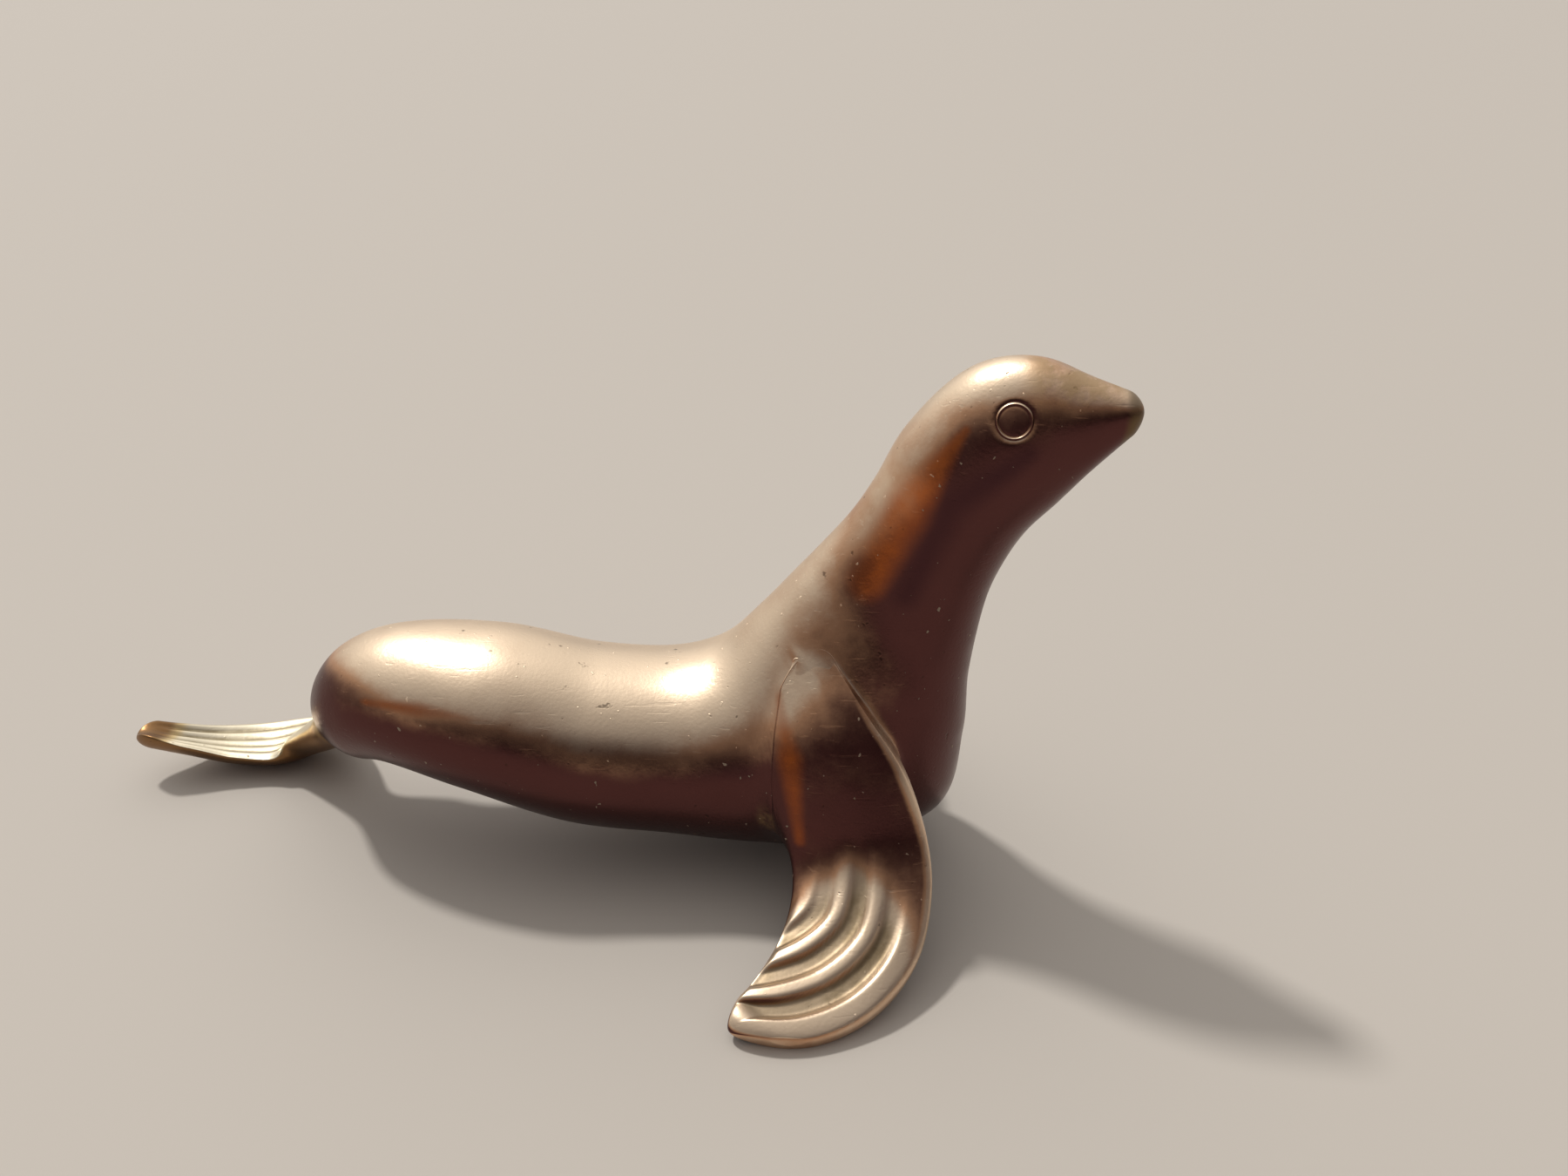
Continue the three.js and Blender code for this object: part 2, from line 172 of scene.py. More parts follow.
def volume(mesh):
    """The volume inside a closed mesh: a sixth of the sum over its triangles of corner . (corner x
    corner)."""
    mesh.calc_loop_triangles()
    corners = np.empty(len(mesh.loop_triangles) * 3, int)
    mesh.loop_triangles.foreach_get("vertices", corners)
    places = np.empty(len(mesh.vertices) * 3)
    mesh.vertices.foreach_get("co", places)
    a, b, c = (places.reshape(-1, 3)[corners.reshape(-1, 3)[:, k]] for k in range(3))
    return np.einsum("ij,ij->", a, np.cross(b, c)) / 6 / MM**3


def spread(count):
    """Shares from 0 to 1 that lie closer together near both ends, where a skin rounds off."""
    return 0.5 - 0.5 * np.cos(np.linspace(0, np.pi, count))


# %% [markdown]
# ## The body
# Trunk, neck and head are one smooth form on the finished seal, because the joint between the castings is
# filled and filed. Each section is an ellipse. On a bend as tight as the one at the shoulders, sections
# square to the middle line would cross, so every section has its own lean, fanned out like the pages of a
# half open book, and its own swing to the side, because the head is turned to the right and the rump to the
# left.

# %% Measured sections of the body
# columns: x, y, z of the middle; lean and swing in degrees; half height and half width
BODY = np.array([
    [27.4, 6.8, 12, 43, -23, 6.1, 6.4],  # rump end
    [35.6, 3.2, 18.3, 15, -16, 8.2, 8.7],  # croup
    [47.8, 0.7, 18.7, -9, -6, 10, 11],  # hip
    [60.5, 0, 15.4, -11, 0, 10.9, 11.9],  # loin
    [71.6, 0, 14.4, 2, 0, 11.5, 12.1],  # ribs
    [79, 0, 14.4, 17, 0, 13.1, 12.8],  # shoulder
    [85.5, 0, 15.3, 29, 0, 15.4, 13.2],  # breast
    [93.6, 0, 20, 42, 0, 17.8, 12.1],  # chest
    [96.5, 0, 28, 47, 0, 15, 9.7],  # neck base
    [97.5, 0, 33.6, 52, 0, 12.3, 8],  # lower neck
    [99.7, -0.4, 41.4, 60, -4, 9.5, 7],  # middle neck
    [101.6, -0.8, 46.5, 62, -8, 8.8, 6.8],  # upper neck
    [104.1, -1.4, 52.2, 56, -14, 8.9, 6.9],  # nape
    [108.7, -2.5, 57.9, 40, -19, 8.7, 6.3],  # crown
    [112.4, -4.1, 60.1, 27, -23, 7.1, 4.7],  # muzzle
    [116.4, -5.7, 61.2, 20, -24, 4.2, 3.1],  # snout
    [120.1, -7.2, 62.55, 14, -25, 1.55, 1.6],  # nose
])
RUMP_ROUNDING = 8
NOSE_ROUNDING = 1.3
BODY_ROWS = 420
BODY_COLUMNS = 220
SHOULDER_SHARE = 0.55  # of the length of the middle line


def body_points(shares, turns):
    """Points of the body: middle + cos(turn) x half width x left + sin(turn) x half height x top, where
    left and top lie in the leaning plane of the section, and both half sizes shrink by a quarter circle at
    the ends."""
    at, length = spans_by_length(BODY[:, :3], shares)
    section = through(BODY, at)
    middle = section[:, :3]
    lean, swing = np.radians(section[:, 3:5]).T
    high, wide = section[:, 5:].T
    left = np.stack([-np.sin(swing), np.cos(swing), 0 * swing], -1)
    ahead = np.stack([np.cos(swing) * np.cos(lean), np.sin(swing) * np.cos(lean), np.sin(lean)], -1)
    top = np.cross(ahead, left)
    closing = round_end(shares * length, RUMP_ROUNDING) * round_end((1 - shares) * length, NOSE_ROUNDING)
    across = np.cos(turns)[..., None] * (wide * closing)[:, None, None] * left[:, None]
    upward = np.sin(turns)[..., None] * (high * closing)[:, None, None] * top[:, None]
    return middle[:, None] + across + upward


def crowded(count, crowd, width, part):
    """Shares from 0 to 1, close together at both ends and round one more place: the running sum of a
    density that is one part bell curve, and for the rest 1 / (pi x root of s(1 - s))."""
    fine = spread(4001)
    bell = np.exp(-(((fine - crowd) / width) ** 2) / 2) / (width * np.sqrt(2 * np.pi))
    bell_sum = np.concatenate([[0], np.cumsum((bell[1:] + bell[:-1]) / 2 * np.diff(fine))])
    run = part * bell_sum / bell_sum[-1] + (1 - part) * np.linspace(0, 1, 4001)
    return np.interp(np.linspace(0, 1, count), run, fine)


body_turns = np.linspace(0, 2 * np.pi, BODY_COLUMNS, endpoint=False)[None, :]
bare_body = body_points(crowded(BODY_ROWS, SHOULDER_SHARE, 0.1, 0.3), body_turns)
print("bare body:", bare_body.shape[:2], "points, highest at", bare_body[..., 2].max().round(1), "mm")

# %% [markdown]
# ## The front flippers
# A front flipper is a plate that leaves the shoulder, hangs beside the chest and spreads out sideways to
# its tip. Its front and rear edges are measured lines, and each section is a flat oval between them, thick
# inward at the shoulder and thin outward. On the outer half, rounded ridges follow the front edge, and the
# rear edge cuts them off one after another. Their height is added as a wave of the distance from the front
# edge, which follows the bend of the plate. A sculpted form would look the same, but the wave keeps the
# spacing in one named value.

# %% Measured edges of the front flipper
FRONT_EDGE = np.array([
    [88.3, 7, 33.6], [93.4, 11.9, 27.6], [98.2, 14.2, 20.8], [101.4, 16.6, 12.8], [101.8, 20.9, 8.2],
    [99.8, 27, 4.1], [95, 32.2, 1.6], [88.5, 35.3, 0.5], [80.2, 35.8, 0.8],
])
REAR_EDGE = np.array([
    [84.4, 8.2, 29.6], [84.4, 11.9, 22.5], [84.9, 13.9, 15.4], [85.9, 16.4, 9.2], [85.8, 19.8, 6.3],
    [84.3, 24.4, 4.4], [81.3, 29.3, 3.1], [77.6, 33.2, 2],
])
ROOT_DEPTH = 5.5
ROOT_FADE = 0.4
ROOT_ROUNDING = 0.04  # as a share of the length, at the hidden root of a flipper or the tail
BLADE_THICKNESS = 3.2
TIP_THICKNESS = 2.7
FLIPPER_BULGE = 1.1
FLIPPER_TIP_ROUNDING = 3.6
RIDGE_SPACING = 4.1
RIDGE_HEIGHT = 0.95
RIDGE_MEAN = 0.42  # the height of the wave that lies on the plain blade
FIRST_RIDGE = 2.0
FANNING = 0.9


def ridge_start(share, across):
    """How far the ridges have risen: a smooth step of the share along, less a fifth of the place across,
    because the middle ridge starts first and its neighbours further out."""
    return ease(share - 0.2 * np.sqrt(across**2 + 0.01), 0.36, 0.58)


def flipper_points(shares, turns):
    """Points of the left flipper, the depth of its grooves and the place across it. The section at a share
    of the edges' lengths spans from one edge to the other. Its thickness goes with the root of the sine of
    the turn, which gives a plate with full round edges, and the ridges are smooth steps of the cosine of
    the distance from the front edge. They spread a little on their way out, and a rim round the tip joins
    them."""
    front_at, _ = spans_by_length(FRONT_EDGE, shares)
    rear_at, rear_length = spans_by_length(REAR_EDGE, shares)
    front = through(FRONT_EDGE, front_at)
    rear = through(REAR_EDGE, rear_at)
    middle = (front + rear) / 2
    ahead = front - middle
    down = np.gradient(front, shares, axis=0) + np.gradient(rear, shares, axis=0)
    outward = unit(np.cross(ahead, down))
    half_width = np.linalg.norm(ahead, axis=-1)[:, None]
    share = shares[:, None]
    tip_end = round_end((1 - share) * rear_length, FLIPPER_TIP_ROUNDING)
    closing = tip_end * round_end(share, ROOT_ROUNDING)
    across, through_plate = np.cos(turns), np.sin(turns)
    oval = np.sign(through_plate) * np.sqrt(np.abs(through_plate))
    blade = (BLADE_THICKNESS + (TIP_THICKNESS - BLADE_THICKNESS) * ease(share, 0.6, 1)) / 2
    inner = blade + (ROOT_DEPTH - blade) * (1 - ease(share, 0.22, 0.48))
    outer = blade * ease(share, 0, ROOT_FADE)
    bulge = FLIPPER_BULGE * np.sin(np.pi * np.minimum(1, share * 1.3)) * (1 - across**2)
    from_front = half_width * (1 - across)
    spacing = RIDGE_SPACING + FANNING * ease(share, 0.6, 0.85)
    first = FIRST_RIDGE + 0.5 * ease(share, 0.7, 1)
    wave = ease(np.cos(2 * np.pi * np.maximum(from_front - first, 0) / spacing), -0.8, 0.9)
    wave = np.maximum(wave, 1 - ease(1 - share, 0.02, 0.09))
    shown = ease(through_plate, 0.0, 0.5) * ridge_start(share, across)
    relief = RIDGE_HEIGHT * shown * (wave - RIDGE_MEAN)
    rise = oval * np.where(through_plate > 0, outer, inner) + bulge + relief
    points = middle[:, None] + ahead[:, None] * (across * closing)[..., None]
    return points + outward[:, None] * (rise * closing)[..., None], shown * (1 - wave), across + 0 * share


HALF_COLUMNS = 100
flipper_shares = spread(280)
half_round = np.pi * spread(HALF_COLUMNS + 1)[:-1]
flipper_turns = -np.concatenate([half_round, half_round + np.pi])[None, :]
bare_flipper, flipper_grooves, flipper_across = flipper_points(flipper_shares, flipper_turns)
flipper_width = bare_flipper[..., 1].max().round(1)
print("bare flipper:", bare_flipper.shape[:2], "points, widest at", flipper_width, "mm")

# %% [markdown]
# ## The hind flipper
# The tail is a small grooved leaf on a curved stem. Its middle line touches the table once and rises to the
# tip, and its sides curl up like a gutter. The leaf is a plate with a full round rim, and the stem is an
# oval.

# %% Hind flipper
# columns: x, y, z of the middle; half width and half thickness
TAIL = np.array([
    [31.6, 5.6, 13, 2.7, 2.4], [26.9, 7.6, 9.7, 3.1, 2.5], [24.6, 10.4, 6.2, 4.4, 2.1],
    [21.8, 13.2, 3, 5.6, 1.7], [17.3, 13.6, 1.2, 5.6, 1.4], [10.5, 12.2, 1.9, 4.6, 1.2],
    [5, 10.6, 4, 3.3, 1.0], [0, 9.4, 6.2, 2, 1.2],
])
TAIL_CUP = 1.4
TAIL_ROLL = np.radians(8)
TAIL_TIP_ROUNDING = 2.2
TAIL_GROOVES = 5
TAIL_GROOVE_DEPTH = 0.16
TAIL_ROWS = 260
TAIL_COLUMNS = 140
BEND_PASSES = 60


def turned(vectors, axes, angle):
    """Vectors turned about axes: v cos + (axis x v) sin + axis (axis . v)(1 - cos)."""
    along = axes * np.sum(axes * vectors, -1, keepdims=True)
    return vectors * np.cos(angle) + np.cross(axes, vectors) * np.sin(angle) + along * (1 - np.cos(angle))


def tail_points(shares, turns):
    """Points of the hind flipper and the depth of its grooves: an oval section that rolls to one side, its
    sides raised by the square of the place across, its upper face waved by a cosine across."""
    at, length = spans_by_length(TAIL[:, :3], shares)
    section = through(TAIL, at)
    middle = section[:, :3]
    back = unit(np.gradient(middle, shares, axis=0))
    right = turned(unit(np.cross(UP, back)), back, TAIL_ROLL)
    top = np.cross(back, right)
    wide, thick = section[:, 3:].T[:, :, None]
    share = shares[:, None]
    closing = round_end((1 - share) * length, TAIL_TIP_ROUNDING) * round_end(share, ROOT_ROUNDING)
    across, through_leaf = np.cos(turns), np.sin(turns)
    leaf = ease(share, 0.26, 0.5)
    wave = np.cos(TAIL_GROOVES * np.pi * across)
    upper = leaf * ease(through_leaf, 0, 0.5) * ease(1 - share, 0.03, 0.16)
    rise = through_leaf * thick + TAIL_CUP * leaf * across**2 + TAIL_GROOVE_DEPTH * upper * wave
    points = middle[:, None] + right[:, None] * (across * wide * closing)[..., None]
    return points + top[:, None] * (rise * closing)[..., None], upper * (0.5 - 0.5 * wave)


def rounded_bend(points):
    """A skin whose rows are averaged with their neighbours, most in the bend of the stem, where they
    crowd."""
    rows = np.linspace(0, 1, len(points))[:, None, None]
    amount = ease(rows, 0.12, 0.25) * (1 - ease(rows, 0.45, 0.6))
    for _ in range(BEND_PASSES):
        step = (np.roll(points, 1, axis=0) + np.roll(points, -1, axis=0)) / 2 - points
        points = points + step * amount
    return points


tail_turns = np.linspace(0, 2 * np.pi, TAIL_COLUMNS, endpoint=False)[None, :]
bent_tail, tail_grooves = tail_points(spread(TAIL_ROWS), tail_turns)
bare_tail = rounded_bend(bent_tail)
print("bare tail:", bare_tail.shape[:2], "points, lowest at", bare_tail[..., 2].min().round(2), "mm")

# %% [markdown]
# ## Filled joints
# Where the flippers and the tail meet the body, the real seal has soft hollows of filler, filed smooth. A
# boolean with a bevel would do that with many small stray faces. Here both skins keep their grids, and the
# points near the joint are moved onto one common surface, the smooth union of the two. With the heights a
# and b of a point over both skins, that surface lies where the smaller of the two, less (k - |a - b|)^2 /
# 4k, is zero. The softness k is small along the front edge of a flipper, which stands proud, and large
# behind and above it.


# %% Height over a skin
SAMPLE_GAP = 0.8  # the most that a point on a skin lies to the side of its nearest sample


def facings(points):
    """The direction in which a closed skin faces at each of its points: round it x along it, made one
    long."""
    around = np.roll(points, -1, axis=1) - np.roll(points, 1, axis=1)
    across = np.cross(around, np.gradient(points, axis=0))
    return across / np.maximum(np.linalg.norm(across, axis=-1, keepdims=True), 1e-9)


def part_of_skin(points, centre, reach, extra):
    """Every second sample of a skin within a box round the centre, without its poles, which face nowhere:
    places, directions and an extra value."""
    grids = (points, facings(points), extra)
    places, facing, values = (grid[::2, ::2].reshape(-1, grid.shape[-1]) for grid in grids)
    faces_out = np.linalg.norm(facing, axis=1) > 0.5
    near = np.all(np.abs(places - centre) < reach, axis=1) & faces_out
    return places[near], facing[near], values[near, 0]


def height_over(points, sample):
    """How far points lie outside a skin: the step from the nearest sample, measured along its direction,
    and more where the point lies far to the side of that sample, as it does beyond a sharp edge."""
    places, facing, values = sample
    middle = places.mean(axis=0)
    around = (places - middle).astype(np.float32)
    half_square = (around**2).sum(axis=1) / 2
    blocks = np.array_split((points - middle).astype(np.float32), len(points) // 800 + 1)
    nearest = np.concatenate([np.argmin(half_square - block @ around.T, axis=1) for block in blocks])
    step = points - places[nearest]
    height = np.einsum("ij,ij->i", step, facing[nearest])
    aside = np.sqrt(np.maximum((step**2).sum(axis=1) - height**2, 0))
    return height + np.maximum(aside - SAMPLE_GAP, 0), facing[nearest], values[nearest]


# %% Smooth union
DEEPEST = 1.7  # points further inside the other skin stay
OVERLAP = 0.05
LONGEST_WAY = 3.0
BLURS = 6
MARGIN = 2  # by how much samples reach past the box of the points that move


def blurred(field, times):
    """A field on a grid whose columns close up, averaged with its neighbours by 1, 2, 1 both ways."""
    for _ in range(times):
        field = (np.roll(field, 1, axis=1) + 2 * field + np.roll(field, -1, axis=1)) / 4
        field[1:-1] = (field[:-2] + 2 * field[1:-1] + field[2:]) / 4
    return field


def filled(skin, own, other, centre, reach, own_softness):
    """A skin whose points near another skin are moved out onto the smooth union of both, and how far each
    point went. A point goes along its own facing, turned toward the bisector with the other's facing as it
    comes near, so both skins run on a little past their crossing, one 0.05 mm under the other. The length
    is found by steps of smooth union / slope along the way, and it fades toward the sides of the box.
    Points deep inside the other skin stay."""
    flat = skin.reshape(-1, 3)
    facing = facings(skin).reshape(-1, 3)
    offset = np.abs(flat - centre) / reach
    near = np.flatnonzero(np.all(offset < 1, axis=1))
    start = flat[near]
    depth, other_facing, other_soft = height_over(start, other)
    _, _, own_soft = height_over(start, own)
    softness = own_soft if own_softness else other_soft
    active = (depth > -DEEPEST) & (depth < softness)
    near, start, depth, softness, other_facing = (
        values[active] for values in (near, start, depth, softness, other_facing))
    turning = 0.5 * (1 - ease(depth / softness, 0, 1))[:, None]
    way = unit(facing[near] * (1 - turning) + other_facing * turning)
    gone = np.zeros(len(near))
    for _ in range(4):
        places = start + gone[:, None] * way
        a, slope_a, soft_a = height_over(places, own)
        b, slope_b, soft_b = height_over(places, other)
        k = soft_a if own_softness else soft_b
        share = np.clip(0.5 + 0.5 * (b - a) / k, 0, 1)
        union = b + (a - b) * share - k * share * (1 - share)
        slope = slope_b + (slope_a - slope_b) * share[:, None]
        sink = OVERLAP * ease(a - b, 0, 0.25)
        gone -= (union + sink) / np.maximum((slope * way).sum(axis=1), 0.35)
        gone = np.clip(gone, -0.1, LONGEST_WAY)
    moved = np.zeros_like(flat)
    gone *= ease(depth, -DEEPEST, -1.0) * np.prod(1 - ease(offset[near], 0.75, 1), axis=1)
    moved[near] = gone[:, None] * way
    moved = blurred(moved.reshape(skin.shape), BLURS)
    return skin + moved, np.linalg.norm(moved, axis=-1)


# %% Fillets at the front flippers
SHOULDER = np.array([91.0, 12.0, 18.0])
SHOULDER_REACH = np.array([18.0, 11.0, 30.0])
no_values = np.ones(bare_body.shape[:2] + (1,))
flipper_rows = flipper_shares[:, None]
at_root = ease(flipper_rows, -0.05, 0.3)
front_share = ease(flipper_across, 0.1, 0.8)
flipper_softness = (0.6 + 5.4 * at_root - 4.9 * front_share * at_root)[..., None]


def for_side(grid, side):
    """Values of the left flipper in the order of columns that the flipper of a side has. The mirrored
    flipper runs the other way round, so that its faces point outwards too."""
    return grid if side > 0 else grid[:, ::-1]


body_skin = bare_body
flippers = {}
for side in (1, -1):
    mirror = np.array([1, side, 1])
    place = SHOULDER * mirror
    flipper = for_side(bare_flipper, side) * mirror
    body_part = part_of_skin(bare_body, place, SHOULDER_REACH + MARGIN, no_values)
    flipper_part = part_of_skin(flipper, place, SHOULDER_REACH + MARGIN, for_side(flipper_softness, side))
    body_skin, raised = filled(body_skin, body_part, flipper_part, place, SHOULDER_REACH, False)
    flippers[side] = filled(flipper, flipper_part, body_part, place, SHOULDER_REACH, True)
    print("flipper joint, side", side, "filled up to", raised.max().round(2), "mm")

# %% Fillet at the tail
RUMP = np.array([29.0, 7.5, 10.0])
RUMP_REACH = np.array([9.0, 9.0, 10.0])
TAIL_SOFTNESS = 4.4
tail_softness = TAIL_SOFTNESS * np.ones(bare_tail.shape[:2] + (1,))
body_part = part_of_skin(bare_body, RUMP, RUMP_REACH + MARGIN, no_values)
tail_part = part_of_skin(bare_tail, RUMP, RUMP_REACH + MARGIN, tail_softness)
body_skin, rump_raised = filled(body_skin, body_part, tail_part, RUMP, RUMP_REACH, False)
filled_tail, tail_raised = filled(bare_tail, tail_part, body_part, RUMP, RUMP_REACH, True)
print("tail joint filled up to", rump_raised.max().round(2), "mm")

# %% [markdown]
# ## The eyes
# Each eye is a thin raised ring round a flat disc, as a ring punch would leave it. The ring follows the
# curve of the head. So the skin round the eye is first fitted with a saddle, a u^2 + b u v + c v^2 over its
# tangent plane, and the turned profile of the stud is raised from that. The body's skin is pressed in a
# little underneath.

# %% Eyes
EYE_FROM_NOSE = 11.4
EYE_TURN = np.radians(19.5)
EYE_PATCH = 2.5  # half the length of skin that the saddle is fitted to
EYE_PATCH_TURN = 0.4  # half its width, as a turn round the head
EYE_ROWS = 110
EYE_COLUMNS = 80
SEAT_DEPTH = 0.3
# columns: radius and height over the skin of the head
EYE_PROFILE = np.array([
    [0, 0.0], [0.8, -0.01], [1.3, -0.03], [1.58, -0.06], [1.65, 0.0], [1.72, 0.09], [1.79, 0.13],
    [1.87, 0.09], [1.94, 0.0], [1.99, -0.15], [2.0, -0.4], [1.9, -0.7], [0, -0.8],
])


def eye_frame(side):
    """The place of an eye, the directions of its plane, its facing, and the saddle of the skin round it."""
    length = spans_by_length(BODY[:, :3], [1])[1]
    steps = np.linspace(-1, 1, 9)
    shares = 1 - (EYE_FROM_NOSE + EYE_PATCH * steps) / length
    turns = (EYE_TURN if side > 0 else np.pi - EYE_TURN) + EYE_PATCH_TURN * steps
    near = body_points(shares, turns[None, :])
    place = near[4, 4]
    facing = unit(np.cross(near[4, 5] - near[4, 3], near[3, 4] - near[5, 4]))
    sideways = unit(np.cross(UP, facing))
    upright = np.cross(facing, sideways)
    step = (near - place).reshape(-1, 3)
    u, v, height = step @ sideways, step @ upright, step @ facing
    saddle = np.linalg.lstsq(np.stack([u * u, u * v, v * v], -1), height, rcond=None)[0]
    return place, sideways, upright, facing, saddle


def eye_points(side):
    """Points of a stud, and their radius: place + u sideways + v upright + (saddle height + profile height)
    x facing, with u and v the radius times cos and sin."""
    place, sideways, upright, facing, saddle = eye_frame(side)
    at = np.linspace(0, len(EYE_PROFILE) - 1, EYE_ROWS)
    radius, height = through(EYE_PROFILE, at).T[:, :, None]
    radius = np.maximum(radius, 0)
    radius[[0, -1]] = 0
    around = np.linspace(0, 2 * np.pi, EYE_COLUMNS, endpoint=False)[None, :]
    u, v = radius * np.cos(around), radius * np.sin(around)
    rise = saddle[0] * u * u + saddle[1] * u * v + saddle[2] * v * v + height
    points = place + u[..., None] * sideways + v[..., None] * upright + rise[..., None] * facing
    return points, radius + 0 * around


def press_eye_seats(points):
    """Moves skin points near an eye inward: by the depth of the seat under the stud, and less round its
    ring."""
    pressed = points.copy()
    for side in (1, -1):
        place, _, _, facing, _ = eye_frame(side)
        far = np.linalg.norm(points - place, axis=-1)
        depth = SEAT_DEPTH * (1 - ease(far, 1.5, 2.4))
        pressed -= facing * depth[..., None]
    return pressed


# %% [markdown]
# ## Marks of wear and painted light
# On the real seal the brown patina is worn down to pale metal where hands and cloths rub it, on the back,
# the crown and the upper sides of the flippers, and the light from above makes these same parts shine. The
# flanks, the throat and the belly stay dark. So each skin carries a mark that rises with how far its
# surface faces up, which is partly wear and partly painted highlight. More marks hold a painted copper
# reflection on the flanks and behind the eyes, painted dark reflection bands beside it, the olive filler
# left at the joints, and the dirt in the grooves and on the nose. They could be painted by hand, but as
# distances from a few named lines they are easy to read and to move.

# %% Wear and painted sheen, painted copper and dark reflections, and filler
# columns: x, y, z of one end, x, y, z of the other end, and the half width at both ends
# painted copper reflection: an orange streak painted along these lines on the neck, the shoulders and the
# hips
PAINTED_COPPER_REFLECTION_LINES = np.array([
    [93.0, 5.9, 41.2, 96.6, 5.9, 50.0, 2.3, 2.7],  # flank of the neck
    [96.6, 5.9, 50.0, 102.2, 6.3, 59.6, 2.7, 0.5],  # behind the eye
    [84.1, 9.2, 27.4, 85.3, 13.6, 22.0, 0.6, 1.5],  # shoulder
    [85.3, 13.6, 22.0, 86.8, 16.3, 12.5, 1.5, 0.8],  # rear edge of the flipper
    [35.5, 5.2, 23.0, 42.4, 7.4, 23.6, 0.4, 0.9],  # flank of the rump
    [42.4, 7.4, 23.6, 49.5, 9.0, 23.4, 0.9, 0.2],  # hip
])
# painted dark reflection bands along these lines on the flanks, the neck and under the eyes
PAINTED_DARK_REFLECTION_LINES = np.array([
    [42.0, 8.0, 22.4, 50.6, 9.8, 22.0, 0.3, 1.6],  # hip
    [50.6, 9.8, 22.0, 69.0, 11.3, 19.6, 1.6, 2.0],  # loin
    [69.0, 11.3, 19.6, 80.0, 12.0, 19.4, 2.0, 1.4],  # ribs
    [97.6, 7.2, 40.0, 101.4, 7.6, 51.5, 1.8, 2.2],  # front of the neck's blush
    [101.4, 7.6, 51.5, 108.5, 9.0, 58.0, 2.2, 1.2],  # under the eye
])
ARMPIT = np.array([83.4, 12.6, 13.5])
ARMPIT_SIZE = np.array([2.2, 2.6, 3.4])


def near_lines(points, lines, inner, outer):
    """1 within a share inner of the half width of the nearest line, and 0 beyond a share outer of it."""
    far = []
    for line in lines:
        start, step = line[:3], line[3:6] - line[:3]
        along = np.clip(((points - start) @ step) / (step @ step), 0, 1)
        half_width = line[6] + (line[7] - line[6]) * along
        far.append(np.linalg.norm(points - start - along[..., None] * step, axis=-1) / half_width)
    return 1 - ease(np.min(far, axis=0), inner, outer)


def marks_of(points, groove, filler, rubbed_and_painted_sheen, edge=0.0):
    """Marks of a skin. The mark of rubbing and painted sheen is a smooth step of the upward share of its
    facing, so surfaces that face up are painted paler as if lit from above. It is scaled by a given share
    and raised to at least the last argument, which holds a pale edge on a flipper, partly painted
    highlight, and a painted lit patch on the back of the neck. The painted orange reflection and the
    painted dark reflection bands fade with the distance from their lines, and the filler shows in a patch
    behind the root of a front flipper."""
    facing = facings(points)
    folded = points * [1, 0, 1] + np.abs(points) * [0, 1, 0]
    patch = np.linalg.norm((folded - ARMPIT) / ARMPIT_SIZE, axis=-1)
    return {
        # painted highlight: surfaces that face up are paler, partly by wear and partly as painted light
        # from above
        "worn_and_painted_sheen": np.maximum(ease(facing[..., 2], 0.05, 0.8) * rubbed_and_painted_sheen, edge),
        # painted copper reflection
        "painted_copper_reflection_and_tint": near_lines(folded, PAINTED_COPPER_REFLECTION_LINES, 0.2, 1.5),
        # painted dark reflection bands
        "painted_dark_reflection": 0.8 * near_lines(folded, PAINTED_DARK_REFLECTION_LINES, 0.0, 1.5),
        "residue": np.clip(1 - ease(patch, 0.3, 1.0) + filler, 0, 1),
        "groove": groove,
    }


# %% The skin of the body
body_skin = press_eye_seats(body_skin)
body_x, body_z = body_skin[..., 0], body_skin[..., 2]
faces_ahead, faces_up = facings(body_skin)[..., 0], facings(body_skin)[..., 2]
nose_end = 0.95 * ease(body_x, 116.8, 119.4)
snout = ease(body_x, 106.5, 110) * (1 - nose_end) * ease(faces_up, 0.25, 0.7)
# painted light: the back of the neck, which faces the lamp, is painted pale
painted_light_behind_neck = 0.7 * ease(-faces_ahead, 0.3, 0.75) * ease(body_z, 26, 36)
# the rump end gets less of the painted sheen, so it stays darker
rump_end = (1 - ease(body_x, 29, 42)) * (1 - ease(faces_up, 0.55, 0.95))
body_filler = 0.8 * ease(rump_raised, 0.15, 0.6) + 0.75 * snout
marks = marks_of(body_skin, nose_end, body_filler, 1 - 0.75 * rump_end, painted_light_behind_neck)
# a copper tint on the top of the snout, over the painted copper reflection
marks["painted_copper_reflection_and_tint"] = np.maximum(marks["painted_copper_reflection_and_tint"], 0.45 * snout)
body = closed_skin("seal_skin", body_skin, marks)
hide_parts("body", "neck_and_head")

